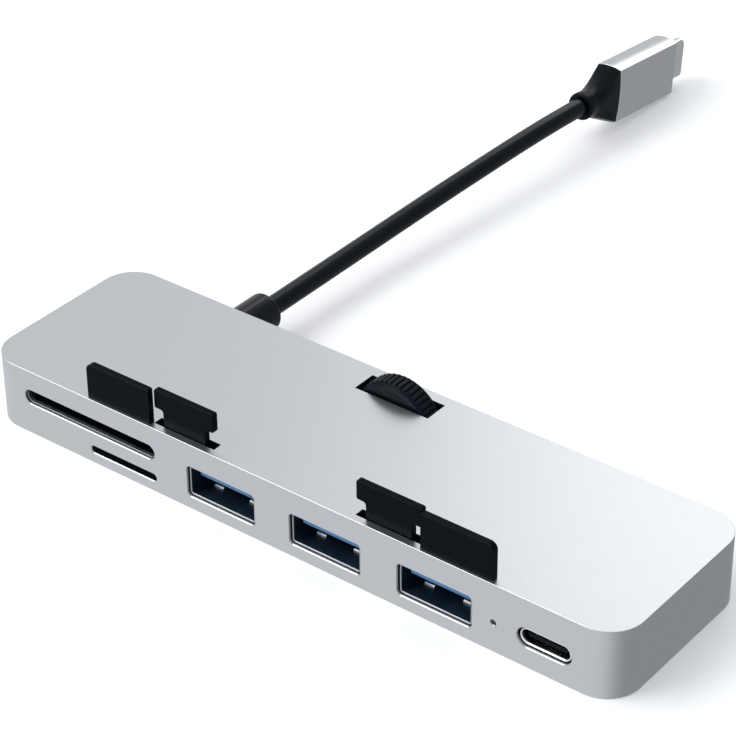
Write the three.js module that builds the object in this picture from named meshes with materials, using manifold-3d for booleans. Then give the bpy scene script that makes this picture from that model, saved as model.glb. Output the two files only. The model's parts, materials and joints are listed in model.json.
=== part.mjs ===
// A USB hub that clamps under the lip of an all-in-one computer.
// Millimetres, +Z up. +X runs along the row of ports, the port face looks along -Y.
// The origin is the middle of the underside.
import * as THREE from "three";
import { mergeVertices } from "three/addons/utils/BufferGeometryUtils.js";
import Module from "manifold-3d";

const wasm = await Module();
wasm.setup();

// ---------------------------------------------------------------- driving dimensions

const LENGTH = 123.6;
const DEPTH = 34.8;
const HEIGHT = 12.2;
const CORNER_R = 6;
const EDGE_CHAMFER = 0.15;
const FRONT = -DEPTH / 2;
const BACK = DEPTH / 2;

const TOP_WALL = 1.5;
const SIDE_WALL = 1.5;
const FRONT_WALL = 1.2;
const CEILING = HEIGHT - TOP_WALL;
const COVER_T = 0.9;
const BOARD_BOTTOM = 1.35;
const BOARD_TOP = 2.15;

// Port row: middle of each opening along X and its height, seen on the front face.
const USB_A_X = [-11.8, 8.8, 29.4];
const USB_A = { z: 5.05, width: 13.6, height: 5.75, corner: 0.7 };
const USB_C = { x: 49.05, z: 5.3, width: 9.45, height: 3.4 };
const SD = { x: -39.4, z: 7.15, width: 28, height: 2.6 };
const MICRO_SD = { x: -32.2, z: 2.55, width: 13.9, height: 1.3 };
const LED = { x: 40.1, z: 5.25, r: 0.55 };

// Clamp: two fixed tabs, two T hooks that a thumbwheel draws down.
const TAB = { x: 33, width: 13.1, front: FRONT + 0.55, thick: 1.1, top: 18.5 };
const HOOK = { x: 20, head: 12.1, neck: 8.6, front: FRONT + 1.45, thick: 1.1, top: 18.5, under: 15.1 };
const HOOK_TRAVEL = 1.1;
const WHEEL = { r: 7.5, thick: 3.8, y: FRONT + 28.5, z: 7.9, ribs: 46 };
const NUT_TRAVEL = 2;
const TURNS = 3;
const THREAD_PITCH = NUT_TRAVEL / TURNS;

// Cable: leaves the back face at half height and ends in a plug on its narrow side, tipped nose down.
const CABLE = { x: -39.8, z: 6.1, r: 1.8 };
const BOOT = { r: 3.45, length: 10.3, flange: 4.5 };
const PLUG = { x: -36.22, y: BACK + 100.32, z: 8.8, pitch: 5.46, width: 5.3, height: 11.75, crown: 0.5 };

const RUNNING_GAP = 0.08;

// ---------------------------------------------------------------- materials

function finish(color, roughness, metalness) {
  return new THREE.MeshStandardMaterial({ color, roughness, metalness });
}

const aluminium = finish(0xc3c5c9, 0.42, 1);
const plugMetal = finish(0x8f9295, 0.38, 1);
const steel = finish(0xb8bcc0, 0.28, 1);
const brass = finish(0xc9a14e, 0.35, 1);
const blackMetal = finish(0x14181c, 0.45, 0.6);
const blackPlastic = finish(0x15191d, 0.5, 0);
const blackRubber = finish(0x101418, 0.55, 0);
const bluePlastic = finish(0x2f6ea5, 0.45, 0);
const boardGreen = finish(0x14512f, 0.5, 0);
const chipBlack = finish(0x1b1c1e, 0.6, 0);
const clearPlastic = finish(0xe8ecef, 0.2, 0);

// ---------------------------------------------------------------- solids from three.js shapes

function toSolid(geometry) {
  const bare = geometry.clone();
  bare.deleteAttribute("normal");
  bare.deleteAttribute("uv");
  const merged = mergeVertices(bare, 1e-4);
  return new wasm.Manifold(
    new wasm.Mesh({
      numProp: 3,
      vertProperties: merged.attributes.position.array,
      triVerts: new Uint32Array(merged.index.array),
    }),
  );
}

function toGeometry(solid) {
  const mesh = solid.getMesh();
  const geometry = new THREE.BufferGeometry();
  geometry.setAttribute("position", new THREE.BufferAttribute(mesh.vertProperties, 3));
  geometry.setIndex(new THREE.BufferAttribute(mesh.triVerts, 1));
  geometry.computeVertexNormals();
  return geometry;
}

function cut(base, ...tools) {
  let solid = toSolid(base);
  for (const tool of tools) solid = solid.subtract(toSolid(tool));
  return toGeometry(solid);
}

function join(base, ...others) {
  let solid = toSolid(base);
  for (const other of others) solid = solid.add(toSolid(other));
  return toGeometry(solid);
}

function common(a, b) {
  return toGeometry(toSolid(a).intersect(toSolid(b)));
}

function block(x0, x1, y0, y1, z0, z1) {
  const geometry = new THREE.BoxGeometry(x1 - x0, y1 - y0, z1 - z0);
  return geometry.translate((x0 + x1) / 2, (y0 + y1) / 2, (z0 + z1) / 2);
}

// A cylinder along Z from z0 to z1.
function post(x, y, r, z0, z1, sides = 24) {
  const geometry = new THREE.CylinderGeometry(r, r, z1 - z0, sides);
  return geometry.rotateX(Math.PI / 2).translate(x, y, (z0 + z1) / 2);
}

// A cylinder along Y from y0 to y1.
function rod(x, z, r, y0, y1, sides = 24) {
  return new THREE.CylinderGeometry(r, r, y1 - y0, sides).translate(x, (y0 + y1) / 2, z);
}

// A turned piece around Y: points are [radius, y], starting and ending on the axis.
function turned(points, sides = 32) {
  const profile = points.map(([r, y]) => new THREE.Vector2(r, y));
  return new THREE.LatheGeometry(profile, sides);
}

function roundedRect(width, height, r) {
  const w = width / 2;
  const h = height / 2;
  const shape = new THREE.Shape();
  shape.absarc(w - r, -h + r, r, -Math.PI / 2, 0);
  shape.absarc(w - r, h - r, r, 0, Math.PI / 2);
  shape.absarc(-w + r, h - r, r, Math.PI / 2, Math.PI);
  shape.absarc(-w + r, -h + r, r, Math.PI, 1.5 * Math.PI);
  shape.closePath();
  return shape;
}

// A flat outline in XY made z0 to z1 high.
function slab(shape, z0, z1, curveSegments = 3) {
  const geometry = new THREE.ExtrudeGeometry(shape, { depth: z1 - z0, bevelEnabled: false, curveSegments });
  return geometry.translate(0, 0, z0);
}

// A flat outline in XZ made y0 to y1 deep.
function sheetXZ(shape, y0, y1, curveSegments = 3) {
  const geometry = new THREE.ExtrudeGeometry(shape, { depth: y1 - y0, bevelEnabled: false, curveSegments });
  return geometry.rotateX(Math.PI / 2).translate(0, y1, 0);
}

// A flat outline in YZ made x0 to x1 wide.
function sheetYZ(shape, x0, x1) {
  const geometry = new THREE.ExtrudeGeometry(shape, { depth: x1 - x0, bevelEnabled: false });
  return geometry.rotateX(Math.PI / 2).rotateZ(Math.PI / 2).translate(x0, 0, 0);
}

function outline(points) {
  return new THREE.Shape(points.map(([a, b]) => new THREE.Vector2(a, b)));
}

// ---------------------------------------------------------------- scene helpers

const hub = new THREE.Group();

function add(name, geometry, material, parent = hub) {
  const mesh = new THREE.Mesh(geometry, material);
  mesh.name = name;
  parent.add(mesh);
  return mesh;
}

function place(mesh, x, y, z) {
  mesh.position.set(x, y, z);
  return mesh;
}

// ---------------------------------------------------------------- casing

const BOSS_SPOTS = [
  [-57, -12.6],
  [57, -12.6],
  [57, 12.6],
  [-57, 12.6],
];
const BOARD_SCREW_SPOTS = [
  [-50, 12],
  [50, 11],
];
const LUG_HALF = 3.4;
const FRONT_LUG_Y = [1.5, 2.9];
const REAR_LUG_Y = [9.5, 10.6];
const BUSH_R = 2.2;
const STEM = { half: 5.5, front: TAB.front + 0.4, back: TAB.front + TAB.thick, foot: FRONT + 6.4 };
const SCREW_BORE_R = 0.95;

function casingOutside() {
  const c = EDGE_CHAMFER;
  const shape = roundedRect(LENGTH - 2 * c, DEPTH - 2 * c, CORNER_R - c);
  const geometry = new THREE.ExtrudeGeometry(shape, {
    depth: HEIGHT,
    bevelEnabled: true,
    bevelSegments: 1,
    bevelSize: c,
    bevelThickness: c,
    curveSegments: 10,
  });
  return cut(geometry.translate(0, 0, -c), block(-LENGTH, LENGTH, -DEPTH, DEPTH, -HEIGHT, 0));
}

function casingCavity() {
  const width = LENGTH - 2 * SIDE_WALL;
  const y0 = FRONT + FRONT_WALL;
  const y1 = BACK - SIDE_WALL;
  const shape = roundedRect(width, y1 - y0, CORNER_R - SIDE_WALL);
  return slab(shape, -1, CEILING, 6).translate(0, (y0 + y1) / 2, 0);
}

function frontOpening({ x, z, width, height, corner }) {
  const r = corner ?? height / 2 - 0.02;
  const geometry = sheetXZ(roundedRect(width, height, r), FRONT - 1, FRONT + FRONT_WALL + 0.5);
  return geometry.translate(x, 0, z);
}

function topSlot(x, halfWidth, y0, y1) {
  return block(x - halfWidth, x + halfWidth, y0, y1, CEILING - 1, HEIGHT + 1);
}

function topShell() {
  const bossBottom = COVER_T + 0.05;
  const bosses = BOSS_SPOTS.map(([x, y]) => post(x, y, 2.4, bossBottom, CEILING + 0.5, 16));
  const boardPosts = BOARD_SCREW_SPOTS.map(([x, y]) => post(x, y, 2.2, BOARD_TOP, CEILING + 0.5, 16));
  const lugs = [FRONT_LUG_Y, REAR_LUG_Y].map(([y0, y1]) =>
    block(-LUG_HALF, LUG_HALF, y0, y1, WHEEL.z - LUG_HALF, CEILING + 0.5),
  );
  const openings = [
    ...USB_A_X.map((x) => frontOpening({ x, ...USB_A })),
    frontOpening(USB_C),
    frontOpening(SD),
    frontOpening(MICRO_SD),
    rod(LED.x, LED.z, LED.r, FRONT - 1, FRONT + FRONT_WALL + 0.5, 12),
    rod(CABLE.x, CABLE.z, BOOT.r + RUNNING_GAP, BACK - SIDE_WALL - 0.5, BACK + 1, 24),
    topSlot(0, 7.25, WHEEL.y - 0.4, WHEEL.y + WHEEL.thick + 0.4),
    ...[-1, 1].flatMap((side) => [
      topSlot(side * HOOK.x, HOOK.head / 2 + 0.1, HOOK.front - 0.15, HOOK.front + HOOK.thick + 0.5),
      topSlot(side * TAB.x, STEM.half + 0.05, STEM.front - 0.05, STEM.back + 0.05),
    ]),
    ...BOSS_SPOTS.map(([x, y]) => post(x, y, SCREW_BORE_R, 0, CEILING - 2, 12)),
    ...BOARD_SCREW_SPOTS.map(([x, y]) => post(x, y, SCREW_BORE_R, 0, CEILING - 2, 12)),
    rod(0, WHEEL.z, BUSH_R + 0.1, FRONT_LUG_Y[0] - 0.5, REAR_LUG_Y[1] + 0.3),
  ];
  const hollow = cut(casingOutside(), casingCavity());
  return cut(join(hollow, ...bosses, ...boardPosts, ...lugs), ...openings);
}

const COVER_SCREW = { head: 1.9, sink: 0.75 };

function bottomCover() {
  const gap = 0.15;
  const y0 = FRONT + FRONT_WALL + gap;
  const y1 = BACK - SIDE_WALL - gap;
  const width = LENGTH - 2 * (SIDE_WALL + gap);
  const plate = slab(roundedRect(width, y1 - y0, CORNER_R - SIDE_WALL - gap), 0, COVER_T, 6);
  const sinks = BOSS_SPOTS.map(([x, y]) => {
    const cone = new THREE.CylinderGeometry(1.1, COVER_SCREW.head + 0.35, COVER_T + 0.2, 24);
    return cone.rotateX(Math.PI / 2).translate(x, y, COVER_T / 2);
  });
  const wheelSlot = block(-3.6, 3.6, WHEEL.y - 0.4, y1 - 0.8, -1, COVER_T + 1);
  return cut(plate.translate(0, (y0 + y1) / 2, 0), ...sinks, wheelSlot);
}

// A countersunk screw standing on its flat head, with a cross recess in it.
function coverScrew() {
  const body = turned(
    [
      [0, 0.05],
      [COVER_SCREW.head, 0.05],
      [0.8, COVER_SCREW.sink],
      [0.8, 6.2],
      [0, 6.6],
    ],
    20,
  ).rotateX(Math.PI / 2);
  const bars = [block(-1.1, 1.1, -0.2, 0.2, -1, 0.45), block(-0.2, 0.2, -1.1, 1.1, -1, 0.45)];
  return cut(body, ...bars);
}

add("top_shell", topShell(), aluminium);
add("bottom_cover", bottomCover(), aluminium);
BOSS_SPOTS.forEach(([x, y], i) => {
  place(add(`cover_screw_${i + 1}`, coverScrew(), steel), x, y, 0);
});

// ---------------------------------------------------------------- fixed tabs

// The plate stands on the top face on two shoulders; its stem goes through a slot to a foot.
function fixedTab() {
  const r = 0.6;
  const plate = roundedRect(TAB.width, TAB.top - HEIGHT + 2 * r, r);
  const plateFront = sheetXZ(plate, FRONT, BACK).translate(0, 0, (TAB.top + HEIGHT) / 2 - r);
  const stem = block(-STEM.half, STEM.half, FRONT, BACK, CEILING - 1, HEIGHT + 0.5);
  const above = block(-TAB.width, TAB.width, FRONT, BACK, HEIGHT, TAB.top + 1);
  const seenFromFront = join(common(plateFront, above), stem);
  const chamfer = 0.3;
  const seenFromSide = sheetYZ(
    outline([
      [TAB.front, HEIGHT],
      [STEM.front, HEIGHT],
      [STEM.front, CEILING - 0.9],
      [STEM.foot, CEILING - 0.9],
      [STEM.foot, CEILING],
      [STEM.back, CEILING],
      [STEM.back, TAB.top],
      [TAB.front + chamfer, TAB.top],
      [TAB.front, TAB.top - chamfer],
    ]),
    -TAB.width,
    TAB.width,
  );
  return common(seenFromFront, seenFromSide);
}

for (const [name, side] of [["fixed_tab_left", -1], ["fixed_tab_right", 1]]) {
  place(add(name, fixedTab(), blackMetal), side * TAB.x, 0, 0);
}

// ---------------------------------------------------------------- hooks and what lifts them

const ARM = { bottom: 9.2, top: 10.1, back: 0.6 };

function hookOutline() {
  const head = HOOK.head / 2;
  const neck = HOOK.neck / 2;
  const fillet = 0.55;
  const lower = 0.33;
  const upper = 0.35;
  const shape = new THREE.Shape();
  shape.moveTo(neck, ARM.bottom);
  shape.lineTo(neck, HOOK.under - fillet);
  shape.absarc(neck + fillet, HOOK.under - fillet, fillet, Math.PI, Math.PI / 2, true);
  shape.absarc(head - lower, HOOK.under + lower, lower, -Math.PI / 2, 0);
  shape.absarc(head - upper, HOOK.top - upper, upper, 0, Math.PI / 2);
  shape.absarc(-head + upper, HOOK.top - upper, upper, Math.PI / 2, Math.PI);
  shape.absarc(-head + lower, HOOK.under + lower, lower, Math.PI, 1.5 * Math.PI);
  shape.absarc(-neck - fillet, HOOK.under - fillet, fillet, Math.PI / 2, 0, true);
  shape.lineTo(-neck, ARM.bottom);
  shape.closePath();
  return shape;
}

const RIVET_X = [-2.2, 2.2];
const RIVET_Y = -1;

// A T-shaped plate bent back at its foot into the arm that carries it.
function clampHook() {
  const back = HOOK.front + HOOK.thick;
  const chamfer = 0.3;
  const side = sheetYZ(
    outline([
      [HOOK.front, ARM.bottom],
      [ARM.back, ARM.bottom],
      [ARM.back, ARM.top],
      [back, ARM.top],
      [back, HOOK.top],
      [HOOK.front + chamfer, HOOK.top],
      [HOOK.front, HOOK.top - chamfer],
    ]),
    -HOOK.head,
    HOOK.head,
  );
  const plate = common(sheetXZ(hookOutline(), FRONT, BACK), side);
  return cut(plate, ...RIVET_X.map((x) => post(x, RIVET_Y, 0.85, ARM.bottom - 1, ARM.top + 1, 16)));
}

const BAR = { half: 24.4, y0: -2.6, y1: 0.6, bottom: 8, top: ARM.bottom };
const CHEEK = { x: 5.3, thick: 1.2, back: 7.8 };
const NUT = { half: 5, y: 3.5, length: 3.8, halfHeight: 2.3 };
const PIN = { r: 0.6, y: NUT.y + 2.9, z: 8.5 };
const GUIDE_X = 12;

function liftBar() {
  const cheeks = [-1, 1].map((side) => {
    const x0 = side > 0 ? CHEEK.x : -CHEEK.x - CHEEK.thick;
    return block(x0, x0 + CHEEK.thick, BAR.y1 - 0.5, CHEEK.back, 7.4, BAR.top);
  });
  const pins = [-1, 1].map((side) => {
    const pin = new THREE.CylinderGeometry(PIN.r, PIN.r, 1.6, 16).rotateZ(Math.PI / 2);
    return pin.translate(side * (CHEEK.x - 0.4), PIN.y, PIN.z);
  });
  const body = join(block(-BAR.half, BAR.half, BAR.y0, BAR.y1, BAR.bottom, BAR.top), ...cheeks, ...pins);
  const rivetHoles = [-HOOK.x, HOOK.x].flatMap((hx) =>
    RIVET_X.map((x) => post(hx + x, RIVET_Y, 0.85, BAR.bottom - 1, BAR.top + 1, 16)),
  );
  const guideHoles = [-GUIDE_X, GUIDE_X].map((x) => post(x, RIVET_Y, 1.2, BAR.bottom - 1, BAR.top + 1));
  return cut(body, ...rivetHoles, ...guideHoles);
}

function rivet() {
  return turned(
    [
      [0, BAR.bottom - 0.35],
      [1.15, BAR.bottom - 0.35],
      [1.15, BAR.bottom],
      [0.7, BAR.bottom],
      [0.7, ARM.top],
      [1.2, ARM.top],
      [0.9, ARM.top + 0.35],
      [0, ARM.top + 0.35],
    ],
    12,
  ).rotateX(Math.PI / 2);
}

for (const [name, side] of [["hook_left", -1], ["hook_right", 1]]) {
  place(add(name, clampHook(), blackMetal), side * HOOK.x, 0, 0);
}
add("lift_bar", liftBar(), steel);
[-HOOK.x, HOOK.x].forEach((hx, h) => {
  RIVET_X.forEach((x, i) => {
    place(add(`hook_rivet_${2 * h + i + 1}`, rivet(), steel), hx + x, RIVET_Y, 0);
  });
});
for (const [name, side] of [["guide_pin_left", -1], ["guide_pin_right", 1]]) {
  add(name, post(side * GUIDE_X, RIVET_Y, 1, 3, CEILING), steel);
}

// ---------------------------------------------------------------- thumbwheel, lead screw and travelling nut

const SCREW = { journal: 1.2, thread: 1.5, root: 1.25, front: 0.8, threadEnd: 9.35, back: 15.2 };
const CLIP = { y: 1.03, thick: 0.35, bore: 1 };

// Ribs run across the rim, and both rims are chamfered.
function thumbwheel() {
  const step = (2 * Math.PI) / WHEEL.ribs;
  const crest = WHEEL.r;
  const valley = WHEEL.r - 0.35;
  const at = (r, a) => [r * Math.cos(a), r * Math.sin(a)];
  const points = [];
  for (let i = 0; i < WHEEL.ribs; i++) {
    const a = i * step;
    points.push(at(valley, a), at(valley, a + 0.2 * step));
    points.push(at(crest, a + 0.3 * step), at(crest, a + 0.9 * step));
  }
  const ribbed = sheetXZ(outline(points), 0, WHEEL.thick);
  const rim = turned(
    [
      [0, 0],
      [WHEEL.r - 0.7, 0],
      [WHEEL.r + 0.02, 0.6],
      [WHEEL.r + 0.02, WHEEL.thick - 0.6],
      [WHEEL.r - 0.7, WHEEL.thick],
      [0, WHEEL.thick],
    ],
    48,
  );
  const hubRing = rod(0, 0, 2, -0.35, 0.5);
  const bore = rod(0, 0, SCREW.journal + RUNNING_GAP, -1, WHEEL.thick + 1, 16);
  return cut(join(common(ribbed, rim), hubRing), bore);
}

function leadScrew() {
  const points = [
    [0, SCREW.front],
    [SCREW.journal, SCREW.front],
    [SCREW.journal, CLIP.y - 0.05],
    [CLIP.bore - 0.05, CLIP.y - 0.05],
    [CLIP.bore - 0.05, CLIP.y + CLIP.thick + 0.05],
    [SCREW.journal, CLIP.y + CLIP.thick + 0.05],
    [SCREW.journal, NUT.y - 0.3],
  ];
  for (let y = NUT.y - 0.2; y < SCREW.threadEnd - THREAD_PITCH / 2; y += THREAD_PITCH) {
    points.push([SCREW.root, y], [SCREW.thread, y + THREAD_PITCH / 2]);
  }
  points.push([SCREW.root, SCREW.threadEnd], [SCREW.journal, SCREW.threadEnd + 0.05]);
  points.push([SCREW.journal, SCREW.back], [0, SCREW.back]);
  return turned(points, 16);
}

// A block with a bore for the screw and a slanting groove in each side for the lift bar's pins.
function travellingNut() {
  const body = block(-NUT.half, NUT.half, 0, NUT.length, -NUT.halfHeight, NUT.halfHeight);
  const bore = rod(0, 0, SCREW.thread + RUNNING_GAP, -1, NUT.length + 1);
  const high = [PIN.y - NUT.y, PIN.z - WHEEL.z];
  const low = [high[0] - NUT_TRAVEL, high[1] - HOOK_TRAVEL];
  const angle = Math.atan2(HOOK_TRAVEL, NUT_TRAVEL);
  const r = PIN.r + RUNNING_GAP;
  const groove = new THREE.Shape();
  groove.absarc(high[0], high[1], r, angle - Math.PI / 2, angle + Math.PI / 2);
  groove.absarc(low[0], low[1], r, angle + Math.PI / 2, angle + 1.5 * Math.PI);
  groove.closePath();
  const depth = 1.2;
  const right = sheetYZ(groove, NUT.half - depth, NUT.half + 1);
  const left = sheetYZ(groove, -NUT.half - 1, -NUT.half + depth);
  return cut(body, bore, right, left);
}

function bush([y0, y1]) {
  const inner = rod(0, WHEEL.z, SCREW.journal + RUNNING_GAP, y0 - 1, y1 + 1);
  return cut(rod(0, WHEEL.z, BUSH_R, y0, y1), inner);
}

// A spring clip with an open side, just in front of the front bush.
function retainingClip() {
  const ring = rod(0, 0, 2.1, 0, CLIP.thick);
  return cut(ring, rod(0, 0, CLIP.bore, -1, 1), block(-0.8, 0.8, -1, 1, -3, 0));
}

place(add("thumbwheel", thumbwheel(), blackPlastic), 0, WHEEL.y, WHEEL.z);
place(add("lead_screw", leadScrew(), steel), 0, 0, WHEEL.z);
place(add("travelling_nut", travellingNut(), brass), 0, NUT.y, WHEEL.z);
add("screw_bush_front", bush(FRONT_LUG_Y), brass);
add("screw_bush_rear", bush(REAR_LUG_Y), brass);
place(add("retaining_clip", retainingClip(), steel), 0, CLIP.y, WHEEL.z);

// ---------------------------------------------------------------- ports

const PORT_SETBACK = 0.45;
const USB_A_SHELL = { width: 13.1, height: 5.7, wall: 0.3, back: -3.4 };
const TONGUE = { width: 11.1, bottom: 0.4, thick: 1.7, setback: 1.8 };
const FINGER = { x: 3.6, half: 0.9, front: FRONT + 3.6, crest: FRONT + 4.7, back: FRONT + 6, rise: 0.5 };

function usbAShell() {
  const { width, height, wall, back } = USB_A_SHELL;
  const y0 = FRONT + PORT_SETBACK;
  const outer = sheetXZ(roundedRect(width, height, 0.6), y0, back);
  const inner = sheetXZ(roundedRect(width - 2 * wall, height - 2 * wall, 0.4), y0 - 1, back + 1);
  const floor = -height / 2 + wall;
  const fingers = [-FINGER.x, FINGER.x].map((x) => {
    const ramp = outline([
      [FINGER.front, floor - 0.1],
      [FINGER.back, floor - 0.1],
      [FINGER.crest, floor + FINGER.rise],
    ]);
    return sheetYZ(ramp, x - FINGER.half, x + FINGER.half);
  });
  return join(cut(outer, inner), ...fingers);
}

function usbATongue() {
  const { width, height, wall, back } = USB_A_SHELL;
  const gap = 0.1;
  const w = width / 2 - wall - gap;
  const h = height / 2 - wall - gap;
  const root = block(-w + 0.3, w - 0.3, back - 2.6, back - gap, -h + 0.2, h - 0.2);
  const half = TONGUE.width / 2;
  const blade = block(
    -half,
    half,
    FRONT + TONGUE.setback,
    back - 1,
    TONGUE.bottom,
    TONGUE.bottom + TONGUE.thick,
  );
  return join(root, blade);
}

USB_A_X.forEach((x, i) => {
  place(add(`usb_a_shell_${i + 1}`, usbAShell(), steel), x, 0, USB_A.z);
  place(add(`usb_a_tongue_${i + 1}`, usbATongue(), bluePlastic), x, 0, USB_A.z);
});

const USB_C_SHELL = { width: 8.94, height: 3.26, wall: 0.3, back: FRONT + 7.6 };

function stadium(width, height) {
  return roundedRect(width, height, height / 2 - 0.01);
}

function usbCShell() {
  const { width, height, wall, back } = USB_C_SHELL;
  const y0 = FRONT + PORT_SETBACK;
  const inner = sheetXZ(stadium(width - 2 * wall, height - 2 * wall), y0 - 1, back + 1, 6);
  return cut(sheetXZ(stadium(width, height), y0, back, 6), inner);
}

function usbCTongue() {
  const { width, height, wall, back } = USB_C_SHELL;
  const gap = 0.1;
  const section = stadium(width - 2 * (wall + gap), height - 2 * (wall + gap));
  const root = sheetXZ(section, back - 2, back - gap);
  return join(root, block(-3.35, 3.35, FRONT + 1, back - 1, -0.35, 0.35));
}

place(add("usb_c_shell", usbCShell(), steel), USB_C.x, 0, USB_C.z);
place(add("usb_c_tongue", usbCTongue(), blackPlastic), USB_C.x, 0, USB_C.z);
const riserTop = USB_C.z - USB_C_SHELL.height / 2;
const riser = block(-4, 4, FRONT + 1.5, FRONT + 7.4, BOARD_TOP, riserTop);
place(add("usb_c_riser", riser, blackPlastic), USB_C.x, 0, 0);

const SD_SOCKET = { half: 13.6, y0: FRONT + FRONT_WALL + 0.1, back: 6, z0: 5.4, z1: 8.9 };

// A frame on two legs over the smaller socket, with a stepped mouth that guides the card.
function sdSocket() {
  const { half, y0, back, z0, z1 } = SD_SOCKET;
  const body = block(-half, half, y0, back, z0, z1);
  const legs = [
    block(-half, -half + 1.8, -10, back, BOARD_TOP, z0 + 0.5),
    block(half - 1.8, half, 0, back, BOARD_TOP, z0 + 0.5),
  ];
  const mouth = block(-13, 13, y0 - 1, y0 + 1.4, SD.z - 1.2, SD.z + 1.2);
  const card = block(-12.4, 12.4, y0, back - 3, SD.z - 1.15, SD.z + 1.15);
  return cut(join(body, ...legs), mouth, card);
}

function microSdSocket() {
  const y0 = FRONT + FRONT_WALL + 0.1;
  const body = block(-7, 7, y0, y0 + 14.5, BOARD_TOP, 3.6);
  const card = block(-6, 6, y0 - 1, y0 + 12, MICRO_SD.z - 0.3, MICRO_SD.z + 0.5);
  return cut(body, card);
}

place(add("sd_socket", sdSocket(), blackPlastic), SD.x, 0, 0);
const { y0: lidFront, back: lidBack, z1: lidBottom } = SD_SOCKET;
const lid = block(-13.4, 13.4, lidFront + 0.3, lidBack - 0.3, lidBottom, lidBottom + 0.2);
place(add("sd_socket_lid", lid, steel), SD.x, 0, 0);
place(add("microsd_socket", microSdSocket(), blackPlastic), MICRO_SD.x, 0, 0);

// A clear pipe takes the light from the board to the pinhole in the port face.
function lightPipe() {
  const elbow = block(-0.8, 0.8, FRONT + 2.6, FRONT + 4.2, BOARD_TOP + 0.9, LED.z + 0.4);
  return join(rod(0, LED.z, 0.4, FRONT + 0.35, FRONT + 3, 16), elbow);
}

place(add("light_pipe", lightPipe(), clearPlastic), LED.x, 0, 0);
const lamp = block(-0.5, 0.5, FRONT + 2.9, FRONT + 3.9, BOARD_TOP, BOARD_TOP + 0.6);
place(add("status_led", lamp, clearPlastic), LED.x, 0, 0);

// ---------------------------------------------------------------- circuit board

function mainBoard() {
  const y0 = FRONT + FRONT_WALL + 0.3;
  const y1 = BACK - SIDE_WALL - 0.3;
  const half = LENGTH / 2 - SIDE_WALL - 0.3;
  const plate = block(-half, half, y0, y1, BOARD_BOTTOM, BOARD_TOP);
  const corners = BOSS_SPOTS.map(([x, y]) => {
    const sx = Math.sign(x);
    const sy = Math.sign(y);
    const inX = x - sx * 2.8;
    const inY = y - sy * 2.8;
    const outX = sx * LENGTH;
    const outY = sy * DEPTH;
    return block(Math.min(inX, outX), Math.max(inX, outX), Math.min(inY, outY), Math.max(inY, outY), 0, 4);
  });
  const wheelBay = block(-6, 6, WHEEL.y - 0.6, BACK, 0, 4);
  const bootBay = block(CABLE.x - 5, CABLE.x + 5, BACK - SIDE_WALL - 1.7, BACK, 0, 4);
  const holes = BOARD_SCREW_SPOTS.map(([x, y]) => post(x, y, 1.1, 0, 4, 16));
  return cut(plate, ...corners, wheelBay, bootBay, ...holes);
}

function boardScrew() {
  return turned(
    [
      [0, BOARD_BOTTOM - 0.35],
      [1.8, BOARD_BOTTOM - 0.35],
      [1.8, BOARD_BOTTOM],
      [0.8, BOARD_BOTTOM],
      [0.8, 6],
      [0, 6.3],
    ],
    20,
  ).rotateX(Math.PI / 2);
}

add("main_board", mainBoard(), boardGreen);
BOARD_SCREW_SPOTS.forEach(([x, y], i) => {
  place(add(`board_screw_${i + 1}`, boardScrew(), steel), x, y, 0);
});

const CHIPS = [
  ["hub_chip", 33, 4, 7, 7, 0.9],
  ["card_reader_chip", -16, 9, 5, 5, 0.8],
  ["power_chip", 46, 3, 4, 4, 0.8],
  ["clock_crystal", 40, 8, 3.2, 2.5, 0.7],
  ["power_coil", 22, 9, 4, 4, 2],
];
for (const [name, x, y, w, d, h] of CHIPS) {
  add(name, block(x - w / 2, x + w / 2, y - d / 2, y + d / 2, BOARD_TOP, BOARD_TOP + h), chipBlack);
}

// ---------------------------------------------------------------- cable and plug

// The flange sits behind the back wall. The cable runs on inside the casing to a clamp.
function cableBoot() {
  const wall = BACK - SIDE_WALL;
  const end = BACK + BOOT.length;
  const points = [
    [0, wall - 1.3],
    [BOOT.flange, wall - 1.3],
    [BOOT.flange, wall - 0.1],
    [BOOT.r, wall - 0.1],
  ];
  const rim = 0.7;
  for (let i = 0; i <= 4; i++) {
    const a = (i * Math.PI) / 8;
    points.push([BOOT.r - rim + rim * Math.cos(a), end - rim + rim * Math.sin(a)]);
  }
  points.push([0, end]);
  return turned(points, 24);
}

function tubeAlong(points, r, steps, sides) {
  const path = new THREE.CatmullRomCurve3(points.map(([x, y, z]) => new THREE.Vector3(x, y, z)));
  const section = new THREE.Shape();
  for (let i = 0; i < sides; i++) {
    const a = (2 * Math.PI * i) / sides;
    const method = i ? "lineTo" : "moveTo";
    section[method](r * Math.cos(a), r * Math.sin(a));
  }
  section.closePath();
  return new THREE.ExtrudeGeometry(section, { extrudePath: path, steps, bevelEnabled: false });
}

const bootEnd = BACK + BOOT.length;

// The bare cable, from the boot's end face to the plug's collar: points by hand, in order.
const CABLE_ROUTE = [
  [CABLE.x, bootEnd + 0.3, CABLE.z],
  [-39.85, bootEnd + 8.3, 6.1],
  [-39.8, bootEnd + 17.9, 6.2],
  [-39.45, bootEnd + 28.9, 6.6],
  [-38.9, bootEnd + 40, 7.2],
  [-38.25, bootEnd + 50.7, 7.85],
  [-37.55, bootEnd + 61.3, 8.45],
  [-36.95, bootEnd + 71.1, 8.9],
  [-36.45, bootEnd + 80.3, 9.1],
  [PLUG.x, PLUG.y - 0.3, PLUG.z + 0.03],
];

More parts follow.
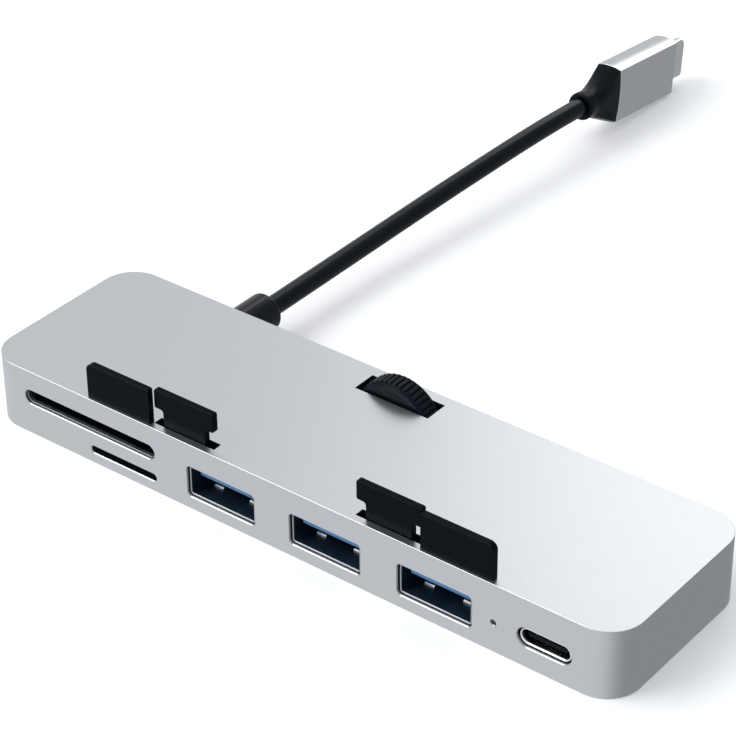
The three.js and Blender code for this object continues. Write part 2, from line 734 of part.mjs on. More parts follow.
// A wide flat plug section with crowned narrow faces, in XZ.
function plugSection(width, height, crown) {
  const w = width / 2;
  const h = height / 2;
  const r = (w * w + crown * crown) / (2 * crown);
  const a = Math.asin(w / r);
  const shape = new THREE.Shape();
  shape.absarc(0, h - r, r, Math.PI / 2 - a, Math.PI / 2 + a);
  shape.absarc(0, -h + r, r, 1.5 * Math.PI - a, 1.5 * Math.PI + a);
  shape.closePath();
  return shape;
}

const PLUG_PARTS = { collar: 1.9, flare: 9.5, shell: 20.7, tip: 5.6 };

// A round collar that flares through a hollow curve into the plug's flat section.
function plugOvermold() {
  const sides = 32;
  const rings = [];
  const flat = plugSection(PLUG.width - 0.1, PLUG.height - 0.2, PLUG.crown).getSpacedPoints(sides);
  const ring = (y, grow, r) => {
    const points = [];
    for (let i = 0; i < sides; i++) {
      const a = Math.atan2(flat[i].y / PLUG.height, flat[i].x / PLUG.width);
      points.push([
        r * Math.cos(a) * (1 - grow) + flat[i].x * grow,
        y,
        r * Math.sin(a) * (1 - grow) + flat[i].y * grow,
      ]);
    }
    rings.push(points);
  };
  ring(0, 0, 2.5);
  ring(0.3, 0, 2.75);
  ring(PLUG_PARTS.collar, 0, 2.75);
  for (let i = 1; i <= 6; i++) {
    const t = i / 6;
    ring(PLUG_PARTS.collar + t * (PLUG_PARTS.flare - PLUG_PARTS.collar), t ** 1.5, 2.6);
  }
  return loft(rings);
}

// Skins a list of rings that all have the same number of points, and closes both ends.
function loft(rings) {
  const n = rings[0].length;
  const positions = rings.flat(2);
  const index = [];
  for (let k = 0; k + 1 < rings.length; k++) {
    for (let i = 0; i < n; i++) {
      const a = k * n + i;
      const b = k * n + ((i + 1) % n);
      index.push(a, a + n, b, b, a + n, b + n);
    }
  }
  const last = (rings.length - 1) * n;
  for (let i = 1; i + 1 < n; i++) {
    index.push(0, i, i + 1);
    index.push(last, last + i + 1, last + i);
  }
  const geometry = new THREE.BufferGeometry();
  geometry.setAttribute("position", new THREE.Float32BufferAttribute(positions, 3));
  geometry.setIndex(index);
  return geometry;
}

function plugShell() {
  const y0 = PLUG_PARTS.flare;
  return sheetXZ(plugSection(PLUG.width, PLUG.height, PLUG.crown), y0, y0 + PLUG_PARTS.shell, 6);
}

function plugTip() {
  const y0 = PLUG_PARTS.flare + PLUG_PARTS.shell;
  const y1 = y0 + PLUG_PARTS.tip;
  const outer = sheetXZ(stadium(8.25, 2.4), y0, y1, 6);
  const inner = sheetXZ(stadium(7.65, 1.8), y0 + 1, y1 + 1, 6);
  return cut(outer, inner).rotateY(Math.PI / 2);
}

function plugInsert() {
  const y0 = PLUG_PARTS.flare + PLUG_PARTS.shell + 1;
  const y1 = y0 + PLUG_PARTS.tip - 1.4;
  const outer = sheetXZ(stadium(7.4, 1.55), y0, y1);
  const throat = block(-3.4, 3.4, y0 + 0.8, y1 + 1, -0.38, 0.38);
  return cut(outer, throat).rotateY(Math.PI / 2);
}

function cableClamp() {
  const strap = block(-3.6, 3.6, 0, 2.4, BOARD_TOP, 8.5);
  const passage = block(-2.2, 2.2, -1, 4, BOARD_TOP - 1, 6.2);
  return cut(strap, passage, rod(0, 6.1, 2.2, -1, 4));
}

place(add("cable_boot", cableBoot(), blackRubber), CABLE.x, 0, CABLE.z);
place(add("cable_clamp", cableClamp(), steel), CABLE.x, 9.6, 0);
const tailRoute = [
  [CABLE.x, BACK - SIDE_WALL - 1.6, CABLE.z],
  [CABLE.x, 12.2, CABLE.z],
  [CABLE.x, 9.5, 5.9],
  [CABLE.x, 7.2, 4.4],
];
add("cable_tail", tubeAlong(tailRoute, 1.5, 6, 8), blackRubber);
add("cable", tubeAlong(CABLE_ROUTE, CABLE.r, 14, 8), blackRubber);

const plug = new THREE.Group();
plug.position.set(PLUG.x, PLUG.y, PLUG.z);
plug.rotation.x = -THREE.MathUtils.degToRad(PLUG.pitch);
hub.add(plug);
add("plug_overmold", plugOvermold(), blackRubber, plug);
add("plug_shell", plugShell(), plugMetal, plug);
add("plug_tip", plugTip(), steel, plug);
add("plug_insert", plugInsert(), blackPlastic, plug);

export default hub;
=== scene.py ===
"""The looks of a clamp-on USB hub: smooth pieces, materials, floor, light and camera on its CAD frame."""

import json
import math

import bmesh
import bpy
from mathutils import Matrix, Vector


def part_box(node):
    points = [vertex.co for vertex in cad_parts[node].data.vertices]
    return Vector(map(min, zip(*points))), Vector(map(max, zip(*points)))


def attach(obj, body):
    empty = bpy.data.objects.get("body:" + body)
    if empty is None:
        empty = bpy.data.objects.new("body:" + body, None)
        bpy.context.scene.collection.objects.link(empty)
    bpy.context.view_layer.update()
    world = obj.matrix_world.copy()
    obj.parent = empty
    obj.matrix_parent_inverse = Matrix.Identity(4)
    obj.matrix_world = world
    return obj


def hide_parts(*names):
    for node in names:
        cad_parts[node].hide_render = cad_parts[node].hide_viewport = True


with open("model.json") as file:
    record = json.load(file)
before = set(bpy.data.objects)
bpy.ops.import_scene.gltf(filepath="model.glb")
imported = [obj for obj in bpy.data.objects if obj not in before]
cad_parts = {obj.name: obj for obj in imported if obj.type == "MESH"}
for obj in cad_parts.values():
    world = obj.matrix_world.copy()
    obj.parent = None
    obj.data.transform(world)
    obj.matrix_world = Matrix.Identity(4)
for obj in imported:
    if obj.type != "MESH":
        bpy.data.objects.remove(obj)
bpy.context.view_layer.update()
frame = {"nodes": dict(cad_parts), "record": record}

# Sizes below are in millimetres unless they say otherwise, and become metres in make_mesh and metres().
MM = 0.001


def box_mm(node):
    low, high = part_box(node)
    return low / MM, high / MM


def metres(point):
    return Vector(point) * MM


SHELL_LOW, SHELL_HIGH = box_mm("top_shell")
FRONT, BACK = SHELL_LOW.y, SHELL_HIGH.y
TOP = SHELL_HIGH.z
SHELL_LENGTH, SHELL_DEPTH = SHELL_HIGH.x - SHELL_LOW.x, BACK - FRONT
CORNER_R = 6
TOP_CHAMFER = 0.06
FRONT_WALL = 1.2
SIDE_WALL = 1.5
CEILING = TOP - 1.5

# ------------------------------------------------------------------ camera


def make_camera():
    azimuth = math.radians(38.174)
    elevation = math.radians(33.189)
    roll = math.radians(0.543)
    place = Vector((0.21102, -0.26350, 0.24517))
    forward = Vector(
        (
            -math.sin(azimuth) * math.cos(elevation),
            math.cos(azimuth) * math.cos(elevation),
            -math.sin(elevation),
        )
    )
    right = forward.cross(Vector((0, 0, 1))).normalized()
    down = forward.cross(right)
    rolled_right = math.cos(roll) * right + math.sin(roll) * down
    rolled_down = math.cos(roll) * down - math.sin(roll) * right
    turn = Matrix((rolled_right, -rolled_down, -forward)).transposed()
    data = bpy.data.cameras.new("camera")
    data.sensor_width = 36
    data.lens = 128.98
    data.clip_start = 0.01
    camera = bpy.data.objects.new("camera", data)
    camera.matrix_world = Matrix.Translation(place) @ turn.to_4x4()
    bpy.context.scene.collection.objects.link(camera)
    bpy.context.scene.camera = camera


make_camera()

# ------------------------------------------------------------------ materials

# Sizes of the slow changes in a finish, in millimetres.
TINT_PATCH = 4
GLOSS_PATCH = 1.5
WEAR_AND_HIGHLIGHT_PATCH = 0.8

# Sockets of a Mix node that blends colours.
MIX_FACTOR, MIX_A, MIX_B, MIX_RESULT = 0, 6, 7, 2


def noise(tree, size, detail):
    """Noise in patches of a size in millimetres."""
    place = next(n for n in tree.nodes if n.type == "TEX_COORD")
    node = tree.nodes.new("ShaderNodeTexNoise")
    node.inputs["Scale"].default_value = 1 / (size * MM)
    node.inputs["Detail"].default_value = detail
    tree.links.new(place.outputs["Object"], node.inputs["Vector"])
    return node.outputs["Fac"]


def spread(tree, value, low, high, start=0.3, end=0.7):
    """Stretches the part of a value between start and end so that it runs from low to high."""
    node = tree.nodes.new("ShaderNodeMapRange")
    node.inputs["From Min"].default_value = start
    node.inputs["From Max"].default_value = end
    node.inputs["To Min"].default_value = low
    node.inputs["To Max"].default_value = high
    tree.links.new(value, node.inputs["Value"])
    return node.outputs["Result"]


def mottled(tree, color, mottle):
    """The base colour, a little darker and lighter in patches."""
    tint = tree.nodes.new("ShaderNodeMix")
    tint.data_type = "RGBA"
    tint.inputs[MIX_A].default_value = (*[c * (1 - mottle) for c in color], 1)
    tint.inputs[MIX_B].default_value = (*[min(1, c * (1 + mottle)) for c in color], 1)
    tree.links.new(noise(tree, TINT_PATCH, 4), tint.inputs[MIX_FACTOR])
    return tint.outputs[MIX_RESULT]


def worn_and_highlit_edges(tree, colour, edge_wear_and_highlight):
    """A colour that gives way to a lighter one on raised edges, unevenly: partly wear, partly a painted
    highlight along the edges.
    """
    pointiness = tree.nodes.new("ShaderNodeNewGeometry").outputs["Pointiness"]
    wear_and_highlight_mask = tree.nodes.new("ShaderNodeMath")
    wear_and_highlight_mask.operation = "MULTIPLY"
    tree.links.new(spread(tree, pointiness, 0, 1, start=0.53, end=0.62), wear_and_highlight_mask.inputs[0])
    tree.links.new(spread(tree, noise(tree, WEAR_AND_HIGHLIGHT_PATCH, 3), 0.2, 0.9), wear_and_highlight_mask.inputs[1])
    wear_and_highlight_mix = tree.nodes.new("ShaderNodeMix")
    wear_and_highlight_mix.data_type = "RGBA"
    wear_and_highlight_mix.inputs[MIX_B].default_value = (*edge_wear_and_highlight, 1)
    tree.links.new(wear_and_highlight_mask.outputs[0], wear_and_highlight_mix.inputs[MIX_FACTOR])
    tree.links.new(colour, wear_and_highlight_mix.inputs[MIX_A])
    return wear_and_highlight_mix.outputs[MIX_RESULT]


def surface(
    name,
    color,
    roughness,
    metallic=0.0,
    specular=0.5,
    grain=0.2,
    depth=0.002,
    mottle=0.06,
    rough_spread=0.05,
    edge_wear_and_highlight=None,
):
    """A procedural finish: mottled colour, uneven gloss, a fine grain in relief, and lighter edges that are
    partly wear and partly a painted highlight.

    grain is the grain's size and depth its height, both in millimetres. The last argument is the edges'
    colour, partly wear and partly a painted highlight.
    """
    material = bpy.data.materials.new(name)
    material.use_nodes = True
    tree = material.node_tree
    tree.nodes.new("ShaderNodeTexCoord")
    shader = tree.nodes["Principled BSDF"]
    shader.inputs["Metallic"].default_value = metallic
    shader.inputs["Specular IOR Level"].default_value = specular
    colour = mottled(tree, color, mottle)
    # Lighter raised edges: partly wear, partly a painted highlight.
    if edge_wear_and_highlight:
        colour = worn_and_highlit_edges(tree, colour, edge_wear_and_highlight)
    tree.links.new(colour, shader.inputs["Base Color"])
    gloss = spread(tree, noise(tree, GLOSS_PATCH, 3), roughness - rough_spread, roughness + rough_spread)
    tree.links.new(gloss, shader.inputs["Roughness"])
    bump = tree.nodes.new("ShaderNodeBump")
    bump.inputs["Strength"].default_value = 1
    bump.inputs["Distance"].default_value = depth * MM
    tree.links.new(noise(tree, grain, 2), bump.inputs["Height"])
    tree.links.new(bump.outputs["Normal"], shader.inputs["Normal"])
    return material


def brushed(name, color, roughness, along, width=0.12, depth=0.001):
    """A drawn or turned metal: fine lines that run along one axis, width apart."""
    material = surface(name, color, roughness, metallic=1, grain=width, depth=depth, mottle=0.04)
    nodes, links = material.node_tree.nodes, material.node_tree.links
    place = next(n for n in nodes if n.type == "TEX_COORD")
    stretch = nodes.new("ShaderNodeMapping")
    line_stretch = 25
    stretch.inputs["Scale"].default_value = [1 / line_stretch if axis == along else 1 for axis in "XYZ"]
    links.new(place.outputs["Object"], stretch.inputs["Vector"])
    for node in nodes:
        if node.type == "TEX_NOISE":
            links.new(stretch.outputs["Vector"], node.inputs["Vector"])
    return material


BLASTED = dict(metallic=1, grain=0.16, depth=0.0012, mottle=0.008, rough_spread=0.01)
BLACK = (0.0012, 0.0032, 0.0058)
SATIN_BLACK = (0.003, 0.006, 0.010)
# Colour of the lighter raised edges on satin black: partly wear, partly a painted highlight.
WORN_HIGHLIT_BLACK = (0.022, 0.027, 0.034)

SURFACES = {
    "shell_aluminium": dict(color=(0.60, 0.61, 0.63), roughness=0.34, **BLASTED),
    "cut_aluminium": dict(color=(0.40, 0.41, 0.43), roughness=0.26, **BLASTED),
    # Darker, rougher copy of the shell's aluminium for the top chamfer. Its darker colour is painted shade
    # that dims the chamfer's highlight.
    "edge_aluminium": dict(color=(0.52, 0.53, 0.55), roughness=0.42, **BLASTED),
    "plug_aluminium": dict(color=(0.70, 0.71, 0.72), roughness=0.18, **BLASTED),
    "black_metal": dict(color=BLACK, roughness=0.3, specular=0.035, grain=0.1, depth=0.0008, mottle=0.1),
    "black_plastic": dict(color=BLACK, roughness=0.42, specular=0.03, grain=0.15, mottle=0.1),
    "satin_black": dict(
        color=SATIN_BLACK, roughness=0.34, specular=0.06, grain=0.15, mottle=0.1, edge_wear_and_highlight=WORN_HIGHLIT_BLACK
    ),
    "black_cable": dict(color=BLACK, roughness=0.2, specular=0.2, grain=0.35, depth=0.003, mottle=0.12),
    "black_boot": dict(color=BLACK, roughness=0.14, specular=0.28, grain=0.12, mottle=0.12),
    "black_overmold": dict(color=BLACK, roughness=0.22, specular=0.1, grain=0.12, mottle=0.12),
    "blue_plastic": dict(color=(0.05, 0.18, 0.38), roughness=0.32, mottle=0.08),
    "circuit_board": dict(color=(0.012, 0.07, 0.035), roughness=0.35, grain=0.6, depth=0.01, mottle=0.25),
    "chip_black": dict(color=(0.02, 0.02, 0.022), roughness=0.55, grain=0.1, depth=0.004, mottle=0.2),
    "clear_plastic": dict(color=(0.75, 0.78, 0.8), roughness=0.15, grain=0.3, depth=0.001, mottle=0.04),
}

BRUSHED = {
    "brass": dict(color=(0.70, 0.50, 0.20), roughness=0.25, along="Y"),
    "gold_contact": dict(color=(0.95, 0.70, 0.30), roughness=0.2, along="Y"),
    "crystal_can": dict(color=(0.62, 0.62, 0.6), roughness=0.3, along="X"),
    "port_steel": dict(color=(0.84, 0.85, 0.87), roughness=0.2, along="Y"),
    "socket_steel": dict(color=(0.42, 0.43, 0.45), roughness=0.42, along="Y"),
    "socket_shade": dict(color=(0.055, 0.10, 0.15), roughness=0.5, along="Y"),
    "steel": dict(color=(0.58, 0.59, 0.6), roughness=0.28, along="X"),
}

MATERIALS = {name: surface(name, **looks) for name, looks in SURFACES.items()}
MATERIALS |= {name: brushed(name, **looks) for name, looks in BRUSHED.items()}
clear_shader = MATERIALS["clear_plastic"].node_tree.nodes["Principled BSDF"]
clear_shader.inputs["Transmission Weight"].default_value = 0.95

for node_name, node in frame["nodes"].items():
    slot_name = next(s["material_slot"] for s in frame["record"]["subparts"] if s["node"] == node_name)
    node.data.materials.clear()
    node.data.materials.append(MATERIALS[slot_name])

# ------------------------------------------------------------------ mesh building

# Edges that turn by more degrees than this are drawn sharp.
SHARP = 32


def make_mesh(name, points, faces, material, smooth=SHARP):
    mesh = bpy.data.meshes.new(name)
    mesh.from_pydata([metres(p) for p in points], [], faces)
    mesh.validate()
    mesh.polygons.foreach_set("use_smooth", [True] * len(mesh.polygons))
    mesh.set_sharp_from_angle(angle=math.radians(smooth))
    mesh.materials.append(MATERIALS[material])
    piece = bpy.data.objects.new(name, mesh)
    bpy.context.scene.collection.objects.link(piece)
    return piece


def skin(rings, closed_ends=True):
    """Points and faces of a skin over rings of equal length, with closed ends or joined into a loop."""
    count = len(rings[0])
    points = [p for ring in rings for p in ring]
    faces = []
    for k in range(len(rings) - 1 if closed_ends else len(rings)):
        a, b = k * count, (k + 1) % len(rings) * count
        for i in range(count):
            j = (i + 1) % count
            faces.append((a + i, b + i, b + j, a + j))
    if closed_ends:
        last = (len(rings) - 1) * count
        faces.append(tuple(range(count)))
        faces.append(tuple(reversed(range(last, last + count))))
    return points, faces


def outward(piece):
    """Turns the faces of a closed mesh outwards."""
    work = bmesh.new()
    work.from_mesh(piece.data)
    bmesh.ops.recalc_face_normals(work, faces=work.faces)
    work.to_mesh(piece.data)
    work.free()
    return piece


def rounded_rect(width, height, r, steps=8):
    """Corner-rounded rectangle about the origin, anticlockwise."""
    points = []
    for corner, (sx, sy) in enumerate(((1, -1), (1, 1), (-1, 1), (-1, -1))):
        for i in range(steps + 1):
            a = math.pi / 2 * (corner - 1 + i / steps)
            points.append((sx * (width / 2 - r) + r * math.cos(a), sy * (height / 2 - r) + r * math.sin(a)))
    return points


def arc(cx, cy, r, start, end, steps=8):
    """Points on an arc, angles in degrees."""
    angles = [math.radians(start + (end - start) * i / steps) for i in range(steps + 1)]
    return [(cx + r * math.cos(a), cy + r * math.sin(a)) for a in angles]


def facing_front(points, y, x=0, z=0):
    """An outline of (x, z) stood up at depth y."""
    return [(x + p, y, z + q) for p, q in points]


def front_prism(name, points, y0, y1, material, x=0, z=0):
    rings = [facing_front(points, y0, x, z), facing_front(points, y1, x, z)]
    return outward(make_mesh(name, *skin(rings), material))


def side_prism(name, points, x0, x1, material):
    rings = [[(x, p, q) for p, q in points] for x in (x0, x1)]
    return outward(make_mesh(name, *skin(rings), material))


def box_outline(low, high):
    """A box's four corners as (x, z), seen from the front."""
    return [(low[0], low[2]), (high[0], low[2]), (high[0], high[2]), (low[0], high[2])]


def block(name, low, high, material):
    return front_prism(name, box_outline(low, high), low[1], high[1], material)


def turned(name, profile, centre, material, steps=64):
    """A turned piece on an axis along Y: profile is (radius, y) from one end of the axis to the other."""
    last = 360 * (1 - 1 / steps)
    rings = []
    for r, y in profile:
        circle = arc(0, 0, r, 0, last, steps - 1)
        rings.append(facing_front(circle, y, *centre))
    return outward(make_mesh(name, *skin(rings), material))


def combine(piece, tools, operation="DIFFERENCE"):
    """Cuts, joins or intersects a piece with tools, which leave their own material on the new faces."""
    for tool in tools:
        step = piece.modifiers.new("combine", "BOOLEAN")
        step.operation = operation
        step.solver = "EXACT"
        step.material_mode = "TRANSFER"
        step.object = tool
    graph = bpy.context.evaluated_depsgraph_get()
    made = bpy.data.meshes.new_from_object(piece.evaluated_get(graph))
    piece.modifiers.clear()
    piece.data = made
    for tool in tools:
        bpy.data.objects.remove(tool)
    made.polygons.foreach_set("use_smooth", [True] * len(made.polygons))
    made.set_sharp_from_angle(angle=math.radians(SHARP))
    return piece


def soften(piece, width, segments=3, angle=35):
    """Rounds a piece's sharp edges a little."""
    bevel = piece.modifiers.new("soften", "BEVEL")
    bevel.width = width * MM
    bevel.segments = segments
    bevel.limit_method = "ANGLE"
    bevel.angle_limit = math.radians(angle)
    bevel.harden_normals = False
    bevel.miter_outer = "MITER_ARC"
    even_out(piece)
    return piece


def even_out(piece):
    """Keeps large flat faces flat beside rounded ones."""
    normals = piece.modifiers.new("even_out", "WEIGHTED_NORMAL")
    normals.keep_sharp = True
    normals.weight = 80
    return piece


def finish_piece(piece, replaces=(), body="casing"):
    if replaces:
        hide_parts(*replaces)
    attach(piece, body)
    return piece


# ------------------------------------------------------------------ cable and plug

CABLE_R = 1.8
BOOT_END = BACK + 10.3
BOOT_R = 3.45
CABLE_X, CABLE_Z = -39.8, 6.1

# The cable's route in metres, from the boot's end to the plug's collar.
CABLE_ROUTE = [
    (-0.0398, 0.0280, 0.0061),
    (-0.03985, 0.0360, 0.0061),
    (-0.0398, 0.0456, 0.0062),
    (-0.03945, 0.0566, 0.0066),
    (-0.0389, 0.0677, 0.0072),
    (-0.03825, 0.0784, 0.00785),
    (-0.03755, 0.0890, 0.00845),
    (-0.03695, 0.0988, 0.0089),
    (-0.03645, 0.1080, 0.0091),
    (-0.03622, 0.11742, 0.00883),
]

PLUG_PLACE = Vector((-36.22, 117.72, 8.8))
PLUG_PITCH = math.radians(-5.46)
PLUG_WIDTH = 5.3
PLUG_HEIGHT = 11.75
PLUG_CROWN = 0.5
COLLAR_END = 1.9
SLEEVE_START = 9.5
SLEEVE_END = 30.2
TIP_END = 35.8
COLLAR_R, COLLAR_ROUND = 2.75, 0.45
SEAM_REACH = 0.7
TIP_WIDTH, TIP_THICK = 8.25, 2.4


def smooth_route(route, steps=6):
    """Points on the Catmull-Rom curve through the route."""
    knots = [Vector(p) for p in route]
    knots = [2 * knots[0] - knots[1], *knots, 2 * knots[-1] - knots[-2]]
    points = []
    for p0, p1, p2, p3 in zip(knots, knots[1:], knots[2:], knots[3:]):
        for i in range(steps):
            t = i / steps
            a = 2 * p1 + (p2 - p0) * t
            b = (2 * p0 - 5 * p1 + 4 * p2 - p3) * t**2
            points.append((a + b + (3 * p1 - p0 - 3 * p2 + p3) * t**3) / 2)
    return [*points, knots[-2]]


def make_cable():
    curve = bpy.data.curves.new("cable_jacket", "CURVE")
    curve.dimensions = "3D"
    curve.bevel_depth = CABLE_R * MM
    curve.bevel_resolution = 10
    curve.use_fill_caps = True
    points = smooth_route(CABLE_ROUTE)
    spline = curve.splines.new("POLY")
    spline.points.add(len(points) - 1)
    for knot, p in zip(spline.points, points):
        knot.co = (*p, 1)
    spline.use_smooth = True
    curve.materials.append(MATERIALS["black_cable"])
    jacket = bpy.data.objects.new("cable_jacket", curve)
    bpy.context.scene.collection.objects.link(jacket)
    finish_piece(jacket, ["cable"])
    length = sum((b - a).length for a, b in zip(points, points[1:]))
    return jacket, length


def make_boot():
    rim = 0.75
    flange_r, flange_front, flange_back = 4.4, BACK - SIDE_WALL - 1.3, BACK - SIDE_WALL - 0.15
    neck_r = BOOT_R - 0.02
    profile = [(0.01, flange_front), (flange_r, flange_front), (flange_r, flange_back)]
    profile += [(neck_r, flange_back), (neck_r, BACK + 0.02), (BOOT_R, BACK + 0.1), (BOOT_R, BOOT_END - rim)]
    profile += arc(BOOT_R - rim, BOOT_END - rim, rim, 11, 90, 8)
    profile += [(CABLE_R + 0.35, BOOT_END), (CABLE_R + 0.12, BOOT_END - 0.18), (0.01, BOOT_END - 0.2)]
    boot = turned("cable_boot_moulding", profile, (CABLE_X, CABLE_Z), "black_boot")
    return finish_piece(even_out(boot), ["cable_boot"])


def plug_section(grow, steps=10):
    """The plug's section: narrow crowned ends above and below, tall flat sides to left and right."""
    w, h = PLUG_WIDTH / 2 + grow, PLUG_HEIGHT / 2 + grow
    r = (w * w + PLUG_CROWN**2) / (2 * PLUG_CROWN)
    half = math.degrees(math.asin(w / r))
    top = arc(0, h - r, r, 90 - half, 90 + half, steps)
    bottom = arc(0, -h + r, r, 270 - half, 270 + half, steps)
    left = [(-w, z) for z in between(top[-1][1], bottom[0][1])]
    right = [(w, z) for z in between(bottom[-1][1], top[0][1])]
    return [*top, *left, *bottom, *right]


def between(start, end, steps=12):
    """Values that divide the stretch from start to end, without its ends."""
    return [start + (end - start) * i / steps for i in range(1, steps)]


def place_plug_piece(piece, node):
    piece.matrix_world = Matrix.Translation(PLUG_PLACE * MM) @ Matrix.Rotation(PLUG_PITCH, 4, "X")
    return finish_piece(piece, [node])


def seam(z):
    """How far the moulding's curved seam reaches into the sleeve at height z."""
    return SEAM_REACH * (1 - (2 * z / PLUG_HEIGHT) ** 2)


def make_overmold():
    section = plug_section(-0.04)
    rings = []

    def ring(y, grow, r, bulge=0.0):
        """grow says how far the ring has gone from round to flat: across, above and below the middle."""
        points = []
        for x, z in section:
            a = math.atan2(z / PLUG_HEIGHT, x / PLUG_WIDTH)
            share = grow[1] if z > 0 else grow[2]
            across = x * grow[0] + r * math.cos(a) * (1 - grow[0])
            up = z * share + r * math.sin(a) * (1 - share)
            points.append((across, y + bulge * seam(z), up))
        rings.append(points)

    none = (0, 0, 0)
    ring(0.12, none, CABLE_R + 0.1)
    ring(0, none, CABLE_R + 0.35)
    for angle in range(0, 91, 15):
        a = math.radians(angle)
        ring(COLLAR_ROUND * (1 - math.cos(a)), none, COLLAR_R - COLLAR_ROUND * (1 - math.sin(a)))
    ring(COLLAR_END - 0.3, none, COLLAR_R)
    steps = 14
    for i in range(1, steps + 1):
        t = i / steps
        y = COLLAR_END + t * (SLEEVE_START - COLLAR_END)
        ring(y, (min(1, 1.25 * t), t**2.2, t), COLLAR_R - 0.15, bulge=t**3)
    points, faces = skin(rings)
    moulding = outward(make_mesh("plug_moulding", points, faces, "black_overmold", smooth=38))
    return place_plug_piece(even_out(moulding), "plug_overmold")


def make_sleeve():
    section = plug_section(0)
    start = [(x, SLEEVE_START + 0.04 + seam(z), z) for x, z in section]
    rings = [start, *[facing_front(section, y) for y in (SLEEVE_START + 1.5, SLEEVE_END)]]
    inset = plug_section(-0.35)
    rings.append(facing_front(inset, SLEEVE_END))
    rings.append(facing_front(inset, SLEEVE_END - 0.12))
    sleeve = outward(make_mesh("plug_sleeve", *skin(rings), "plug_aluminium"))
    soften(sleeve, 0.12, 2)
    return place_plug_piece(sleeve, "plug_shell")


def make_tip():
    def upright(inset, y):
        thickness = TIP_THICK - inset
        return [(z, y, x) for x, z in rounded_rect(TIP_WIDTH - inset, thickness, thickness / 2 - 0.01, 12)]

    # Each step round the tip's rim: how much narrower it is than the tip, and how far it is past the end.
    rim = ((0, -0.25), (0.15, -0.06), (0.3, 0), (0.5, -0.05), (0.6, -0.3))
    rings = [upright(0, SLEEVE_END - 0.1)]
    rings += [upright(inset, TIP_END + past) for inset, past in rim]
    rings.append(upright(0.6, SLEEVE_END + 1))
    tip = outward(make_mesh("plug_tip_tube", *skin(rings), "port_steel"))
    return place_plug_piece(even_out(tip), "plug_tip")


cable, cable_length = make_cable()
boot = make_boot()
overmold = make_overmold()
sleeve = make_sleeve()
tip = make_tip()

# ------------------------------------------------------------------ casing

# Each opening in the front wall: its width, height, corner radius and middle height.
USB_A = dict(width=13.6, height=5.6, r=0.7, z=5.12)
USB_A_X = [sum(v.x for v in box_mm(f"usb_a_shell_{i}")) / 2 for i in (1, 2, 3)]
USB_C = dict(width=9.45, height=3.4, r=1.69, z=5.3)
USB_C_X = 49.05
SD = dict(width=28, height=2.6, r=1.28, z=7.15)
SD_X = -39.4
MICRO_SD = dict(width=13.9, height=1.3, r=0.6, z=2.55)
MICRO_SD_X = -32.2
LED = dict(width=0.9, height=0.9, r=0.449, z=5.25)
LED_X = 40.1
TAB_X, TAB_WIDTH, TAB_FRONT, TAB_THICK = 33, 13.1, FRONT + 0.55, 1.1
STEM_HALF, STEM_FRONT, STEM_BACK, STEM_FOOT = 5.5, FRONT + 0.95, FRONT + 1.65, FRONT + 6.4
HOOK_X, HOOK_HEAD, HOOK_NECK, HOOK_FRONT, HOOK_THICK = 20, 12.1, 8.6, FRONT + 1.45, 1.1
# STEM_FOOT and HOOK_FOOT are how far back the feet reach, inside the casing.
HOOK_FOOT = 0.6
# The standing plates' cut top edge, their rounding, and half the width of the cutter for their sides.
PLATE_CHAMFER, PLATE_ROUND, PLATE_REACH = 0.3, 0.09, 8
STAND_TOP = box_mm("fixed_tab_left")[1].z
WHEEL_R, WHEEL_THICK, WHEEL_Y, WHEEL_Z = 7.5, 3.8, FRONT + 28.5, 7.9
SCREW_SPOTS = [(-57, -12.6), (57, -12.6), (57, 12.6), (-57, 12.6)]


def plan(width, depth, r, z, y=0.0, steps=20):
    """A rounded rectangle lying at height z."""
    return [(p, q + y, z) for p, q in rounded_rect(width, depth, r, steps)]


def mouth_cutter(x, spec, through=FRONT_WALL + 0.6, flare=0.13):
    """A cutter for one opening in the front wall, wider at the face to leave a small cut edge."""
    rings = []
    for y, grow in ((-0.5, flare), (0, flare), (flare, 0), (through, 0)):
        outline = rounded_rect(spec["width"] + 2 * grow, spec["height"] + 2 * grow, spec["r"] + grow)
        rings.append(facing_front(outline, FRONT + y, x, spec["z"]))
    return outward(make_mesh("cutter", *skin(rings), "cut_aluminium"))


def slot_cutter(x, half, y0, y1):
    return block("cutter", (x - half, y0, CEILING - 1), (x + half, y1, TOP + 1), "cut_aluminium")


def casing_block():
    """The casing's outer block. The narrow chamfer round the top gets a darker, rougher copy of the
    aluminium, and its darker colour is painted shade that dims the chamfer's highlight.
    """
    foot = 0.05
    rings = []
    for z, inset in ((0, foot), (foot, 0), (TOP - TOP_CHAMFER, 0), (TOP, TOP_CHAMFER)):
        rings.append(plan(SHELL_LENGTH - 2 * inset, SHELL_DEPTH - 2 * inset, CORNER_R - inset, z))
    casing = outward(make_mesh("casing_shell", *skin(rings), "shell_aluminium"))
    casing.data.materials.append(MATERIALS["edge_aluminium"])
    # The top chamfer's faces take the darker copy: painted shade on the chamfer.
    for face in casing.data.polygons:
        if 0.3 < face.normal.z < 0.9:
            face.material_index = 1
    return casing


def room_cutter():
    """The space inside the walls, open below."""
    y0, y1 = FRONT + FRONT_WALL, BACK - SIDE_WALL
    length, depth, middle = SHELL_LENGTH - 2 * SIDE_WALL, y1 - y0, (y0 + y1) / 2
    rings = [plan(length, depth, CORNER_R - SIDE_WALL, z, middle) for z in (-1, CEILING)]
    return outward(make_mesh("cutter", *skin(rings), "shell_aluminium"))


def port_cutters():
    ports = [(x, USB_A) for x in USB_A_X]
    ports += [(USB_C_X, USB_C), (SD_X, SD), (MICRO_SD_X, MICRO_SD)]
    return [*[mouth_cutter(x, spec) for x, spec in ports], mouth_cutter(LED_X, LED, flare=0.14)]


def boot_cutter():
    r = BOOT_R + 0.05
    return turned("cutter", [(r, BACK - 3), (r, BACK + 1)], (CABLE_X, CABLE_Z), "cut_aluminium")


